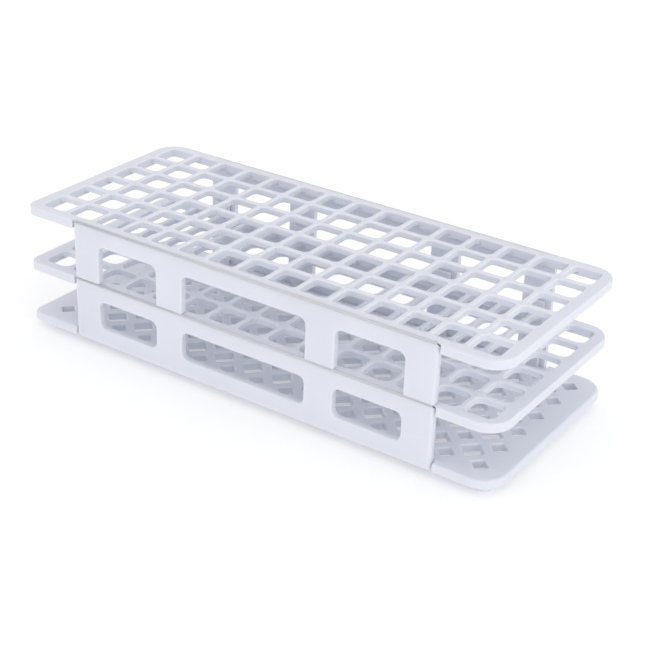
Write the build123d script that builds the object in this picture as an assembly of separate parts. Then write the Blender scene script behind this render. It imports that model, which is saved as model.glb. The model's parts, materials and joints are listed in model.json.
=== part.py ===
from build123d import *
import os

# Three-tier test tube rack, snapped together from three flat mouldings.
#
# Origin: the centre of the footprint, at the level of the feet's undersides.
# X runs along the rack, -Y is the front and +Z is up.  Millimetres.

# Tube grid
COLUMNS = 15
ROWS = 6
COLUMN_PITCH = 15.8
ROW_PITCH = 15.9
HOLE = 13.4
HOLE_CORNER_RADIUS = 2.0
MIDDLE_HOLE_CORNER_RADIUS = 3.2

# Plates
LENGTH = 246.0
WIDTH = 103.0
CORNER_RADIUS = 11.0
KEYED_CORNER_RADIUS = 5.0
PLATE_THICKNESS = 4.4
BASE_THICKNESS = 4.0
RIB_DEPTH = 3.2
EDGE_ROUNDING = 0.5
BASE_TOP_ROUNDING = 1.2

# Levels, up from the surface that the rack stands on
FOOT_HEIGHT = 3.4
BASE_TOP = FOOT_HEIGHT + BASE_THICKNESS
WALL_BOTTOM = 3.8
MIDDLE_TOP = 33.4
TOP = 61.0

# Side walls
WALL_THICKNESS = 3.2
WALL_HALF_LENGTH = 94.2
WALL_END_ROUNDING = 1.5
WINDOW_CORNER_RADIUS = 3.2
WINDOW_RIM_ROUNDING = 0.8
UPPER_HEAD_STRIP = 9.2
LOWER_HEAD_STRIP = 8.6
SILL_STRIP = 7.9
SIDE_WINDOW = (46.8, 79.8)
CENTRE_WINDOW_HALF = 32.3
CLEARANCE = 0.15
END_NOTCH = 0.8

# Living hinge: a thin web wrapped round the outer top corner of each wall
WEB_RADIUS = 0.8
WEB_THICKNESS = 0.4
MITRE_TAPER = 0.5

# Locating lugs behind the pillars, each with a rib in a groove of the wall
LUG_WIDTH = 9.0
LUG_THICKNESS = 1.2
LUG_HEIGHT = 6.0
KEY_WIDTH = 3.0
KEY_DEPTH = 0.9
KEY_TOP = 4.6
KEY_HEADROOM = 0.4

# Base lattice of diamond holes
SEAT_DIAMOND = 5.8
DRAIN_DIAMOND = 8.2
DIAMOND_CORNER_RADIUS = 0.8

# Feet
FOOT_DIAMETER = 8.4
FOOT_INSET = 8.7

HALF_LENGTH = LENGTH / 2
HALF_WIDTH = WIDTH / 2
PILLAR_CENTRES = (
    (WALL_HALF_LENGTH + SIDE_WINDOW[1]) / 2,
    (SIDE_WINDOW[0] + CENTRE_WINDOW_HALF) / 2,
)
PILLARS = [side * x for x in PILLAR_CENTRES for side in (-1, 1)]


def block(x, y, z):
    """A box between (low, high) pairs along X, Y and Z."""
    size = [high - low for low, high in (x, y, z)]
    middle = [(high + low) / 2 for low, high in (x, y, z)]
    return Pos(*middle) * Box(*size)


def plate_outline(thickness, top_rounding):
    """The rounded rectangular plate, its top at z = 0, with soft outer edges.

    The front left corner is tighter than the others, which shows which way round the rack is.
    """
    patch = 3 * CORNER_RADIUS
    keyed_corner = RectangleRounded(patch, patch, KEYED_CORNER_RADIUS)
    outline = RectangleRounded(LENGTH, WIDTH, CORNER_RADIUS)
    outline += Pos((patch - LENGTH) / 2, (patch - WIDTH) / 2) * keyed_corner
    plate = extrude(outline, -thickness)
    plate = fillet(plate.edges().filter_by(Plane.XY).group_by(Axis.Z)[-1], top_rounding)
    return fillet(plate.edges().filter_by(Plane.XY).group_by(Axis.Z)[0], EDGE_ROUNDING)


def square_holes(corner_radius, depth):
    """Cutters for the tube grid, reaching from above z = 0 to below the ribs."""
    hole = RectangleRounded(HOLE, HOLE, corner_radius)
    grid = Sketch() + [place * hole for place in GridLocations(COLUMN_PITCH, ROW_PITCH, COLUMNS, ROWS)]
    return Pos(0, 0, -depth - 1) * extrude(grid, depth + 2)


def rib_relief():
    """The shallow pocket under the grid, which leaves the border deeper than the ribs."""
    reach = (
        (COLUMNS - 1) * COLUMN_PITCH + HOLE,
        (ROWS - 1) * ROW_PITCH + HOLE,
    )
    pocket = RectangleRounded(*reach, MIDDLE_HOLE_CORNER_RADIUS)
    return Pos(0, 0, -PLATE_THICKNESS - 1) * extrude(pocket, 1 + PLATE_THICKNESS - RIB_DEPTH)


def profile_bar(points, half_length):
    """A bar along X whose section in Y and Z is the polygon through the points."""
    section = make_face(Polyline(*[(0, y, z) for y, z in points], close=True))
    return Pos(-half_length, 0, 0) * extrude(section, 2 * half_length, dir=(1, 0, 0))


def hinge_recess():
    """What the front wall and its hinge take out of a hinged plate with its top at z = 0.

    The web's lip stays on the plate; below it the edge slopes in at 45 degrees.
    """
    lip = -HALF_WIDTH + WEB_RADIUS
    inner = -HALF_WIDTH + WALL_THICKNESS + CLEARANCE
    outside = -HALF_WIDTH - 1
    return profile_bar(
        [
            (outside, 1),
            (lip, 1),
            (lip, -WEB_THICKNESS),
            (inner, -WEB_THICKNESS - (inner - lip)),
            (inner, -PLATE_THICKNESS - 1),
            (outside, -PLATE_THICKNESS - 1),
        ],
        WALL_HALF_LENGTH + END_NOTCH,
    )


def plain_recess():
    """What the front wall takes out of the base plate's edge, with the plate's top at z = 0."""
    inner = -HALF_WIDTH + WALL_THICKNESS + CLEARANCE
    reach = WALL_HALF_LENGTH + END_NOTCH
    return block((-reach, reach), (-HALF_WIDTH - 1, inner), (-PLATE_THICKNESS - 1, 1))


def front_lugs():
    """Locating lugs on a plate with its top at z = 0, one behind each front pillar."""
    outer = -HALF_WIDTH + WALL_THICKNESS + CLEARANCE
    lugs = Part()
    for x in PILLARS:
        lug = block(
            (x - LUG_WIDTH / 2, x + LUG_WIDTH / 2),
            (outer, outer + LUG_THICKNESS),
            (-RIB_DEPTH / 2, LUG_HEIGHT),
        )
        key = block(
            (x - KEY_WIDTH / 2, x + KEY_WIDTH / 2),
            (outer - KEY_DEPTH, outer),
            (CLEARANCE, KEY_TOP),
        )
        lugs += [lug, key]
    return lugs


def both_sides(shape):
    """The shape and its copy turned half a turn about Z, from the front to the back."""
    return Part() + [shape, Rot(0, 0, 180) * shape]


def hinged_plate(corner_radius, lugs):
    """A plate with the tube grid and a hinge recess along each long side, its top at z = 0."""
    plate = plate_outline(PLATE_THICKNESS, EDGE_ROUNDING)
    plate -= rib_relief()
    plate -= square_holes(corner_radius, PLATE_THICKNESS)
    plate -= both_sides(hinge_recess())
    if lugs:
        plate += both_sides(front_lugs())
    return plate


def diamond(side):
    """A square hole turned by 45 degrees, with slightly round corners."""
    return Rot(0, 0, 45) * RectangleRounded(side, side, DIAMOND_CORNER_RADIUS)


def base_plate():
    """The base: a lattice of diamond holes, lugs for the lower walls and four round feet."""
    seats = [place * diamond(SEAT_DIAMOND) for place in GridLocations(COLUMN_PITCH, ROW_PITCH, COLUMNS, ROWS)]
    between = GridLocations(COLUMN_PITCH, ROW_PITCH, COLUMNS - 1, ROWS - 1)
    drains = [place * diamond(DRAIN_DIAMOND) for place in between]
    lattice = extrude(Sketch() + seats + drains, BASE_THICKNESS + 2)
    plate = plate_outline(BASE_THICKNESS, BASE_TOP_ROUNDING)
    plate -= Pos(0, 0, -BASE_THICKNESS - 1) * lattice
    plate -= both_sides(plain_recess())
    plate += both_sides(front_lugs())
    spread = (LENGTH - 2 * FOOT_INSET, WIDTH - 2 * FOOT_INSET)
    overlap = 1.0
    foot = Pos(0, 0, -BASE_TOP) * extrude(
        Circle(FOOT_DIAMETER / 2), FOOT_HEIGHT + overlap
    )
    plate += [place * foot for place in GridLocations(*spread, 2, 2)]
    return Pos(0, 0, BASE_TOP) * plate


def window(low_x, high_x, low_z, high_z, open_bottom):
    """A cutter for one window of a front wall; an open one runs out through the bottom edge."""
    width = high_x - low_x
    reach = WALL_THICKNESS + 2
    shape = Rectangle(width, high_z - low_z)
    top = shape.vertices().group_by(Axis.Y)[-1]
    corners = top if open_bottom else shape.vertices()
    shape = fillet(corners, WINDOW_CORNER_RADIUS)
    cutter = extrude(Plane.XZ * shape, reach)
    return Pos((low_x + high_x) / 2, -HALF_WIDTH + reach - 1, (low_z + high_z) / 2) * cutter


def window_rims(wall):
    """The edges round the windows on a front wall's outer face."""
    face = wall.faces().sort_by(Axis.Y)[0]
    reach = WALL_HALF_LENGTH - 2 * WALL_END_ROUNDING
    low, high = face.bounding_box().min.Z, face.bounding_box().max.Z
    return [
        edge
        for edge in face.edges()
        if abs(edge.center().X) < reach and low + CLEARANCE < edge.center().Z < high - CLEARANCE
    ]


def front_wall(top, bottom, sill, head, catch_level):
    """A front wall hanging from the plate whose top surface is at the level `top`.

    `sill` is the height of the strip under the windows, or 0 for windows open at the bottom.
    `catch_level` is the top surface of the plate whose lugs stand behind the wall.
    """
    web_end = top - WEB_RADIUS
    start = -HALF_WIDTH + WEB_THICKNESS
    inner = -HALF_WIDTH + WALL_THICKNESS
    wall = profile_bar(
        [
            (-HALF_WIDTH, web_end),
            (start, web_end),
            (inner, web_end - (inner - start) + MITRE_TAPER),
            (inner, bottom),
            (-HALF_WIDTH, bottom),
        ],
        WALL_HALF_LENGTH,
    )
    plan = RectangleRounded(2 * WALL_HALF_LENGTH, 2 * WALL_THICKNESS, WALL_END_ROUNDING)
    wall &= Pos(0, inner, bottom) * extrude(plan, top - bottom)
    low = bottom + sill if sill else bottom - 1
    spans = [
        (-SIDE_WINDOW[1], -SIDE_WINDOW[0]),
        (-CENTRE_WINDOW_HALF, CENTRE_WINDOW_HALF),
        SIDE_WINDOW,
    ]
    for span in spans:
        wall -= window(*span, low, top - head, not sill)
    wall = fillet(window_rims(wall), WINDOW_RIM_ROUNDING)
    groove_side = KEY_WIDTH / 2 + CLEARANCE
    for x in PILLARS:
        wall -= block(
            (x - groove_side, x + groove_side),
            (inner - KEY_DEPTH, inner + 1),
            (bottom - 1, catch_level + KEY_TOP + KEY_HEADROOM),
        )
    return wall


def hinge_web(top):
    """The thin web round a front wall's top corner: a quarter of a ring along X."""
    centre = (-HALF_WIDTH + WEB_RADIUS, top - WEB_RADIUS)
    ring = Circle(WEB_RADIUS) - Circle(WEB_RADIUS - WEB_THICKNESS)
    quarter = ring & (Pos(-WEB_RADIUS, WEB_RADIUS) * Rectangle(2 * WEB_RADIUS, 2 * WEB_RADIUS))
    half_length = WALL_HALF_LENGTH - WALL_END_ROUNDING
    bar = extrude(Plane.YZ * quarter, 2 * half_length)
    return Pos(-half_length, *centre) * bar


def to_back(shape):
    """The back wall's shape from the front wall's: half a turn about Z."""
    return Rot(0, 0, 180) * shape


def all_parts():
    """Every sub-part by name."""
    seam = MIDDLE_TOP + CLEARANCE
    upper_wall = front_wall(TOP, seam, 0, UPPER_HEAD_STRIP, MIDDLE_TOP)
    lower_wall = front_wall(MIDDLE_TOP, WALL_BOTTOM, SILL_STRIP, LOWER_HEAD_STRIP, BASE_TOP)
    upper_web = hinge_web(TOP)
    lower_web = hinge_web(MIDDLE_TOP)
    return {
        "base_plate": base_plate(),
        "middle_plate": Pos(0, 0, MIDDLE_TOP) * hinged_plate(MIDDLE_HOLE_CORNER_RADIUS, True),
        "top_plate": Pos(0, 0, TOP) * hinged_plate(HOLE_CORNER_RADIUS, False),
        "lower_wall_front": lower_wall,
        "lower_wall_back": to_back(lower_wall),
        "upper_wall_front": upper_wall,
        "upper_wall_back": to_back(upper_wall),
        "lower_web_front": lower_web,
        "lower_web_back": to_back(lower_web),
        "upper_web_front": upper_web,
        "upper_web_back": to_back(upper_web),
    }


os.makedirs("parts", exist_ok=True)
for name, shape in all_parts().items():
    export_step(shape, f"parts/{name}.step")
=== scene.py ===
"""A white polypropylene test tube rack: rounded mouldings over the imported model, on a pale table."""

import json
import math

import bmesh
import bpy
from mathutils import Matrix, Vector


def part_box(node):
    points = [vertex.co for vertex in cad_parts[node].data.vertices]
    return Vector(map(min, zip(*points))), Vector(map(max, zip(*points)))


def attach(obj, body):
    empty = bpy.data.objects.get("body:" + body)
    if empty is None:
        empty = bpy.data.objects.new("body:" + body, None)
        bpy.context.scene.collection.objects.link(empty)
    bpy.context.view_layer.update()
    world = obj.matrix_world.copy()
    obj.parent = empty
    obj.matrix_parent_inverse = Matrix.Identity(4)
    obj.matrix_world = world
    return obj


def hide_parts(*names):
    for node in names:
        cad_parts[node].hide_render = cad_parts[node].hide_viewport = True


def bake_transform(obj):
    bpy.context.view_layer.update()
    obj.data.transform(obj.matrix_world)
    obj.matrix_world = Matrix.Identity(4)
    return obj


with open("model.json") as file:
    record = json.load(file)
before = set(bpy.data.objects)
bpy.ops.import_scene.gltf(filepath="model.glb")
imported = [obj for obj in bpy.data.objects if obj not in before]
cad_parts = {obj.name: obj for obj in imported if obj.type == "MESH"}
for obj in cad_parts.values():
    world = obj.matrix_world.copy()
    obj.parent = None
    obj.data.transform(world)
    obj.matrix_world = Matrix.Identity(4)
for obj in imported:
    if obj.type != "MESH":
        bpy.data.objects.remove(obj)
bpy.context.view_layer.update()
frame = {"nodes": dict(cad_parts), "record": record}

MM = 0.001

# Mouldings: every CAD edge sharper than this is rounded
SHARP_ANGLE = math.radians(50)
PLATE_ROUNDING = 0.6 * MM
WALL_ROUNDING = 0.35 * MM
ROUNDING_STEPS = 3
MERGE_DISTANCE = 0.002 * MM
RUBBED = "rubbed_edge"

# Each living hinge: its web, the body it hangs from and the wall that it carries
HINGES = {
    "lower_web_front": ("middle_tier", "lower_wall_front"),
    "lower_web_back": ("middle_tier", "lower_wall_back"),
    "upper_web_front": ("top_tier", "upper_wall_front"),
    "upper_web_back": ("top_tier", "upper_wall_back"),
}
WEB_THICKNESS = 0.4 * MM
WEB_STEPS = 12
WEB_OVERRUN = 0.7 * MM
# An edge this near a web runs on into it, so it stays sharp: margins along X, Y and Z
SEAM_MARGIN = Vector((2.6 * MM, 0.1 * MM, 0.2 * MM))

# Two near whites that the plastic drifts between, and the paler white of its rubbed edges
PLASTIC_COLOURS = ((0.735, 0.757, 0.83), (0.757, 0.779, 0.852))
RUBBED_COLOUR = (0.82, 0.835, 0.89)

# Unevenness of the plastic: noise scales in features per metre, relief depths and value ranges
CLOUD_SCALE = 30
GLOSS_SCALE = 90
WEAR_SCALE = 140
SINK_SCALE = 45
GRAIN_SCALE = 3200
SINK_DEPTH = 0.12 * MM
GRAIN_DEPTH = 0.012 * MM
ROUGHNESS_RANGE = (0.36, 0.5)
WEAR_RANGE = (0.15, 0.9)
TRANSLUCENCY = 0.5
TRANSLUCENT_DEPTH = 2.5 * MM

# The part of a noise's values that is stretched over a number's range, and over two colours
NUMBER_SPAN = (0.3, 0.7)
COLOUR_SPAN = (0.35, 0.65)

# The camera looks at a point above the middle of the footprint
CAMERA_AIM = Vector((0, 0, 30.44 * MM))
CAMERA_DISTANCE = 666.75 * MM
CAMERA_AZIMUTH = math.radians(34.09)
CAMERA_ELEVATION = math.radians(26.30)
CAMERA_ROLL = math.radians(1.96)
CAMERA_LENS = 82.67
CAMERA_SHIFT = (0.0218, -0.0382)

CAMERA_NEAREST = 10 * MM

# The table: it lies just under the feet, glows a little and reaches out this many metres
FLOOR_DROP = 0.02 * MM
FLOOR_WHITE = 0.92
FLOOR_ROUGHNESS = 0.9
FLOOR_GLOW = 0.2
FLOOR_REACH = 30

# Light: the surround's brightness, then each lamp's direction, distance, size and watts
SURROUND = 0.9
LAMPS = {
    "key": ((0.85, -0.38, 0.32), 1.4, 0.8, 2),
    "fill": ((-0.1, -1, 0.25), 1.8, 1.4, 0.3),
}


def body_of(node):
    """The name of the body that a CAD node belongs to."""
    bodies = frame["record"]["behaviour"]["bodies"]
    return next(body for body, nodes in bodies.items() if node in nodes)


def add_object(name, data):
    """A new object in the scene."""
    obj = bpy.data.objects.new(name, data)
    bpy.context.scene.collection.objects.link(obj)
    return obj


def mesh_object(name, form):
    """A new object from a finished bmesh, which is freed."""
    mesh = bpy.data.meshes.new(name)
    form.to_mesh(mesh)
    form.free()
    return add_object(name, mesh)


def web_zones():
    """The boxes round the living hinges, where the CAD edges stay sharp."""
    boxes = [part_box(web) for web in HINGES]
    return [(low - SEAM_MARGIN, high + SEAM_MARGIN) for low, high in boxes]


def is_inside(point, zone):
    """Whether a point lies in a box."""
    low, high = zone
    return all(low[i] <= point[i] <= high[i] for i in range(3))


def meets_a_web(edge, zones):
    """Whether both ends of an edge lie on or beside the same living hinge."""
    first, second = (vertex.co for vertex in edge.verts)
    return any(is_inside(first, zone) and is_inside(second, zone) for zone in zones)


def even_normals(obj):
    """Smooth shading that keeps the large flat faces flat."""
    weighted = obj.modifiers.new("normals", "WEIGHTED_NORMAL")
    weighted.keep_sharp = True
    graph = bpy.context.evaluated_depsgraph_get()
    shaded = bpy.data.meshes.new_from_object(obj.evaluated_get(graph))
    obj.modifiers.clear()
    obj.data = shaded


def moulding(node, zones):
    """A CAD node's shape with its sharp edges rounded, as a mould leaves them."""
    form = bmesh.new()
    form.from_mesh(frame["nodes"][node].data)
    bmesh.ops.remove_doubles(form, verts=form.verts, dist=MERGE_DISTANCE)
    sharp = [
        edge
        for edge in form.edges
        if edge.is_convex and edge.calc_face_angle(0) > SHARP_ANGLE and not meets_a_web(edge, zones)
    ]
    rubbed = form.faces.layers.float.new(RUBBED)
    rounded = bmesh.ops.bevel(
        form,
        geom=sharp,
        affect="EDGES",
        offset=PLATE_ROUNDING if node.endswith("plate") else WALL_ROUNDING,
        offset_type="OFFSET",
        segments=ROUNDING_STEPS,
        profile=0.5,
        loop_slide=False,
        clamp_overlap=False,
    )
    for face in rounded["faces"]:
        face[rubbed] = 1
    for face in form.faces:
        face.smooth = True
    for edge in form.edges:
        edge.smooth = edge.calc_face_angle(0) < SHARP_ANGLE
    piece = mesh_object(f"{node}_moulding", form)
    # The stored normals are those of the shape before its edges were rounded
    piece.data.attributes.remove(piece.data.attributes["custom_normal"])
    even_normals(piece)
    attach(piece, body_of(node))
    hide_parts(node)
    return piece


def arc_point(centre, radius, turn, side):
    """A point of the web's section: turn runs from 0 on the plate to 1 on the wall."""
    angle = turn * math.pi / 2
    return (
        centre[0] + side * radius * math.sin(angle),
        centre[1] + radius * math.cos(angle),
    )


def living_hinge(web):
    """A thin web that runs round from a plate's top into a wall's face."""
    low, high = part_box(web)
    radius = high.z - low.z
    side = 1 if low.y > 0 else -1
    centre = (low.y, low.z) if side > 0 else (high.y, low.z)
    turns = [step / WEB_STEPS for step in range(WEB_STEPS + 1)]
    outer = [arc_point(centre, radius, turn, side) for turn in turns]
    inner = [arc_point(centre, radius - WEB_THICKNESS, turn, side) for turn in turns]
    section = outer + inner[::-1]
    form = bmesh.new()
    reach = (low.x - WEB_OVERRUN, high.x + WEB_OVERRUN)
    ends = [[form.verts.new((x, y, z)) for y, z in section] for x in reach]
    for i in range(len(section)):
        j = (i + 1) % len(section)
        form.faces.new((ends[0][i], ends[0][j], ends[1][j], ends[1][i]))
    for end in ends:
        for i in range(WEB_STEPS):
            form.faces.new((end[i], end[i + 1], end[-2 - i], end[-1 - i]))
    bmesh.ops.recalc_face_normals(form, faces=form.faces)
    piece = mesh_object(f"{web}_hinge", form)
    # The curved sides are smooth; the two flat ends face along X and stay flat
    for polygon in piece.data.polygons:
        polygon.use_smooth = abs(polygon.normal.x) < 0.5
    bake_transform(piece)
    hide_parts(web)
    return piece


def noise(tree, scale, detail):
    """A noise texture in the rack's own frame: features are about 1 / scale metres across."""
    place = tree.nodes.new("ShaderNodeTexCoord")
    texture = tree.nodes.new("ShaderNodeTexNoise")
    texture.inputs["Scale"].default_value = scale
    texture.inputs["Detail"].default_value = detail
    tree.links.new(place.outputs["Object"], texture.inputs["Vector"])
    return texture.outputs["Fac"]


def ramp(tree, value, low, high):
    """Two colours, mixed by a noise value."""
    mix = tree.nodes.new("ShaderNodeValToRGB")
    for stop, position, colour in zip(mix.color_ramp.elements, COLOUR_SPAN, (low, high)):
        stop.position = position
        stop.color = (*colour, 1)
    tree.links.new(value, mix.inputs["Fac"])
    return mix.outputs["Color"]


def spread(tree, value, low, high):
    """A noise value turned into a number between low and high."""
    stretch = tree.nodes.new("ShaderNodeMapRange")
    stretch.inputs["From Min"].default_value = NUMBER_SPAN[0]
    stretch.inputs["From Max"].default_value = NUMBER_SPAN[1]
    stretch.inputs["To Min"].default_value = low
    stretch.inputs["To Max"].default_value = high
    tree.links.new(value, stretch.inputs["Value"])
    return stretch.outputs["Result"]


def bump(tree, height, depth, under=None):
    """A normal from a height, `depth` metres deep, over another normal."""
    relief = tree.nodes.new("ShaderNodeBump")
    relief.inputs["Strength"].default_value = 1
    relief.inputs["Distance"].default_value = depth
    tree.links.new(height, relief.inputs["Height"])
    if under:
        tree.links.new(under, relief.inputs["Normal"])
    return relief.outputs["Normal"]


def worn_edges(tree, colour):
    """Lightens a colour in patches along the rounded edges, where tubes and hands rub them."""
    edge = tree.nodes.new("ShaderNodeAttribute")
    edge.attribute_name = RUBBED
    patches = tree.nodes.new("ShaderNodeMath")
    patches.operation = "MULTIPLY"
    tree.links.new(edge.outputs["Fac"], patches.inputs[0])
    tree.links.new(spread(tree, noise(tree, WEAR_SCALE, 3), *WEAR_RANGE), patches.inputs[1])
    mix = tree.nodes.new("ShaderNodeMix")
    mix.data_type = "RGBA"
    tree.links.new(patches.outputs["Value"], mix.inputs["Factor"])
    tree.links.new(colour, mix.inputs["A"])
    mix.inputs["B"].default_value = (*RUBBED_COLOUR, 1)
    return mix.outputs["Result"]


def material_plastic():
    """Satin white polypropylene: cloudy colour, uneven gloss, fine mould grain and slow sink waves."""
    material = bpy.data.materials.new("white_polypropylene")
    material.use_nodes = True
    tree = material.node_tree
    shader = tree.nodes["Principled BSDF"]
    cloudy = ramp(tree, noise(tree, CLOUD_SCALE, 4), *PLASTIC_COLOURS)
    tree.links.new(worn_edges(tree, cloudy), shader.inputs["Base Color"])
    gloss = spread(tree, noise(tree, GLOSS_SCALE, 5), *ROUGHNESS_RANGE)
    tree.links.new(gloss, shader.inputs["Roughness"])
    sink = bump(tree, noise(tree, SINK_SCALE, 1), SINK_DEPTH)
    grain = bump(tree, noise(tree, GRAIN_SCALE, 2), GRAIN_DEPTH, under=sink)
    tree.links.new(grain, shader.inputs["Normal"])
    shader.inputs["Subsurface Weight"].default_value = TRANSLUCENCY
    shader.inputs["Subsurface Radius"].default_value = (1, 1, 1)
    shader.inputs["Subsurface Scale"].default_value = TRANSLUCENT_DEPTH
    return material


def add_floor():
    """A wide pale table top under the feet, lit a little from within like a light table."""
    form = bmesh.new()
    bmesh.ops.create_grid(form, x_segments=1, y_segments=1, size=FLOOR_REACH)
    floor = mesh_object("floor", form)
    floor.location.z = -FLOOR_DROP
    material = bpy.data.materials.new("pale_table")
    material.use_nodes = True
    shader = material.node_tree.nodes["Principled BSDF"]
    shader.inputs["Base Color"].default_value = (FLOOR_WHITE, FLOOR_WHITE, FLOOR_WHITE, 1)
    shader.inputs["Roughness"].default_value = FLOOR_ROUGHNESS
    shader.inputs["Specular IOR Level"].default_value = 0
    shader.inputs["Emission Color"].default_value = (1, 1, 1, 1)
    shader.inputs["Emission Strength"].default_value = FLOOR_GLOW
    floor.data.materials.append(material)


def area_light(name, direction, distance, size, power):
    """A soft square light that shines at the rack from a direction."""
    data = bpy.data.lights.new(name, "AREA")
    data.shape = "SQUARE"
    data.size = size
    data.energy = power
    light = add_object(name, data)
    back = Vector(direction).normalized()
    light.location = CAMERA_AIM + back * distance
    light.rotation_euler = back.to_track_quat("Z", "Y").to_euler()


def add_surround():
    """An even white studio all round."""
    world = bpy.data.worlds.new("surround")
    bpy.context.scene.world = world
    world.use_nodes = True
    background = world.node_tree.nodes["Background"]
    background.inputs["Color"].default_value = (1, 1, 1, 1)
    background.inputs["Strength"].default_value = SURROUND


def add_lights():
    """A low soft key from the right and a faint wide fill from the front."""
    for name, lamp in LAMPS.items():
        area_light(name, *lamp)


def add_camera():
    """The camera: a long lens from the front right, slightly above."""
    back = Vector(
        (
            math.sin(CAMERA_AZIMUTH) * math.cos(CAMERA_ELEVATION),
            -math.cos(CAMERA_AZIMUTH) * math.cos(CAMERA_ELEVATION),
            math.sin(CAMERA_ELEVATION),
        )
    )
    level = Vector((math.cos(CAMERA_AZIMUTH), math.sin(CAMERA_AZIMUTH), 0))
    rise = back.cross(level)
    right = level * math.cos(CAMERA_ROLL) + rise * math.sin(CAMERA_ROLL)
    up = rise * math.cos(CAMERA_ROLL) - level * math.sin(CAMERA_ROLL)
    data = bpy.data.cameras.new("camera")
    data.lens = CAMERA_LENS
    data.shift_x, data.shift_y = CAMERA_SHIFT
    data.clip_start = CAMERA_NEAREST
    camera = add_object("camera", data)
    turn = Matrix((right, up, back)).transposed().to_4x4()
    camera.matrix_world = Matrix.Translation(CAMERA_AIM + back * CAMERA_DISTANCE) @ turn
    bpy.context.scene.camera = camera


plastic = material_plastic()
zones = web_zones()
pieces = [moulding(node, zones) for node in frame["nodes"] if node not in HINGES]
pieces += [living_hinge(web) for web in HINGES]
for piece in pieces:
    piece.data.materials.clear()
    piece.data.materials.append(plastic)

add_floor()
add_surround()
add_lights()
add_camera()
bpy.context.scene.view_settings.view_transform = "Standard"
